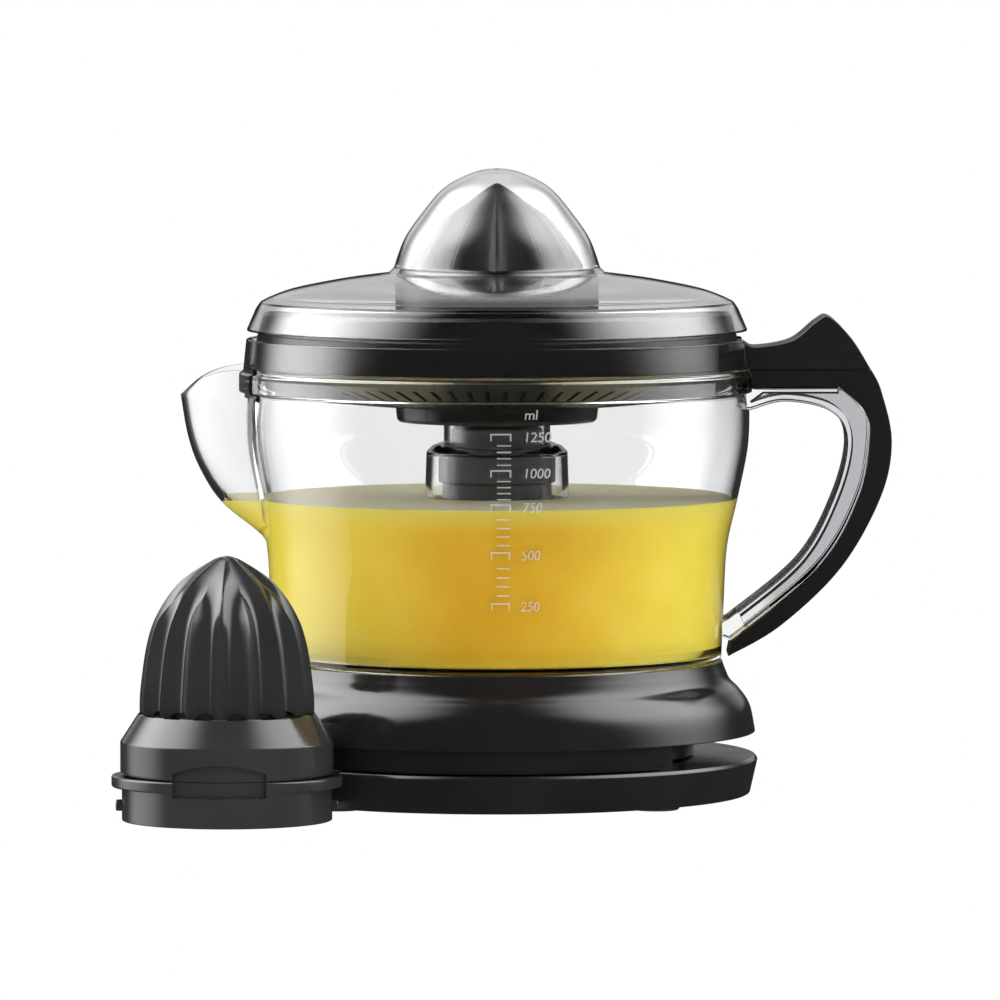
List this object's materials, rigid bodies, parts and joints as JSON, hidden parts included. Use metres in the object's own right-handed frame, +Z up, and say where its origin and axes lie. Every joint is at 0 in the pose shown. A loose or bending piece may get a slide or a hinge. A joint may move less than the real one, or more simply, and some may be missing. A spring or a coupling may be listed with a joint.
{
  "type": "citrus press juicer",
  "caption": "Electric citrus juicer: round base with a cord groove, clear spouted jug, slotted strainer with a thumb rest, reaming cone, domed lid and a larger spare cone.",
  "frame": {"origin": "middle of the whole object's footprint, with z = 0 on the surface that its feet stand on", "axes": "+X from the spout to the handle, +Y to the rear where the cord leaves, +Z up along the drive axis"},
  "size_m": [0.2574, 0.2102, 0.2104],
  "materials": {
    "gloss_black": "gloss black moulding",
    "satin_black": "satin black moulding",
    "strainer_black": "gloss black moulding",
    "cone_black": "satin gloss black moulding",
    "clear": "clear moulded plastic",
    "lid_clear": "clear moulded plastic with a faint smoke tint",
    "rubber": "matt rubber",
    "steel": "plain steel",
    "lamination": "stacked steel laminations",
    "copper": "enamelled copper winding",
    "bronze": "sintered bronze",
    "nylon": "natural nylon",
    "grey_plastic": "grey acetal"
  },
  "bodies": {
    "base": {"base_housing": "gloss_black", "base_plate": "gloss_black", "cord_gland": "rubber", "foot_1": "rubber", "foot_2": "rubber", "foot_3": "rubber", "foot_4": "rubber", "base_screw_1": "steel", "base_screw_2": "steel", "base_screw_3": "steel", "drive_tower": "satin_black", "tower_bush": "bronze", "shaft_seal": "rubber", "stator_core": "lamination", "stator_coil": "copper", "rotor_bush_lower": "bronze", "rotor_bush_upper": "bronze", "motor_bracket": "steel", "idler_pin": "steel", "return_spring": "steel", "switch_body": "satin_black"},
    "plunger": {"thrust_plunger": "nylon"},
    "button": {"switch_button": "nylon"},
    "output": {"output_gear": "nylon", "drive_shaft": "grey_plastic"},
    "idler": {"idler_gear": "nylon"},
    "rotor": {"rotor": "steel"},
    "jug": {"jug": "clear", "jug_handle_cover": "gloss_black"},
    "strainer": {"strainer": "strainer_black"},
    "small_cone": {"small_cone": "cone_black"},
    "lid": {"lid": "lid_clear"},
    "large_cone": {"large_cone": "cone_black", "large_cone_ring": "cone_black"}
  },
  "joints": [
    {"name": "jug_lift", "type": "slide", "parent": "base", "child": "jug", "axis": [0, 0, 1], "range_m": [0, 0.15]},
    {"name": "strainer_lift", "type": "slide", "parent": "jug", "child": "strainer", "axis": [0, 0, 1], "range_m": [0, 0.06]},
    {"name": "lid_lift", "type": "slide", "parent": "strainer", "child": "lid", "axis": [0, 0, 1], "range_m": [0, 0.06]},
    {"name": "cone_spin", "type": "hinge", "parent": "strainer", "child": "small_cone", "pos_m": [-0.003, 0.0177, 0.18], "axis": [0, 0, 1], "continuous": true},
    {"name": "large_cone_lift", "type": "slide", "parent": "base", "child": "large_cone", "axis": [0, 0, 1], "range_m": [0, 0.1]},
    {"name": "shaft_press", "type": "slide", "parent": "base", "child": "plunger", "axis": [0, 0, -1], "range_m": [0, 0.0025], "stiffness_N_per_m": 2500, "springref_m": -0.001, "deforming": ["return_spring"]},
    {"name": "switch_press", "type": "slide", "parent": "base", "child": "button", "axis": [0, 0, -1], "range_m": [0, 0.0025]},
    {"name": "output_spin", "type": "hinge", "parent": "plunger", "child": "output", "pos_m": [-0.003, 0.0177, 0.033], "axis": [0, 0, 1], "continuous": true},
    {"name": "idler_spin", "type": "hinge", "parent": "base", "child": "idler", "pos_m": [-0.003, 0.0552, 0.033], "axis": [0, 0, 1], "continuous": true},
    {"name": "rotor_spin", "type": "hinge", "parent": "base", "child": "rotor", "pos_m": [-0.02633, 0.0552, 0.02], "axis": [0, 0, 1], "continuous": true}
  ],
  "couplings": [
    {"joint": "cone_spin", "follows": "output_spin", "ratio": 1},
    {"joint": "idler_spin", "follows": "output_spin", "ratio": -4},
    {"joint": "rotor_spin", "follows": "output_spin", "ratio": 24},
    {"joint": "switch_press", "follows": "shaft_press", "ratio": 1}
  ]
}
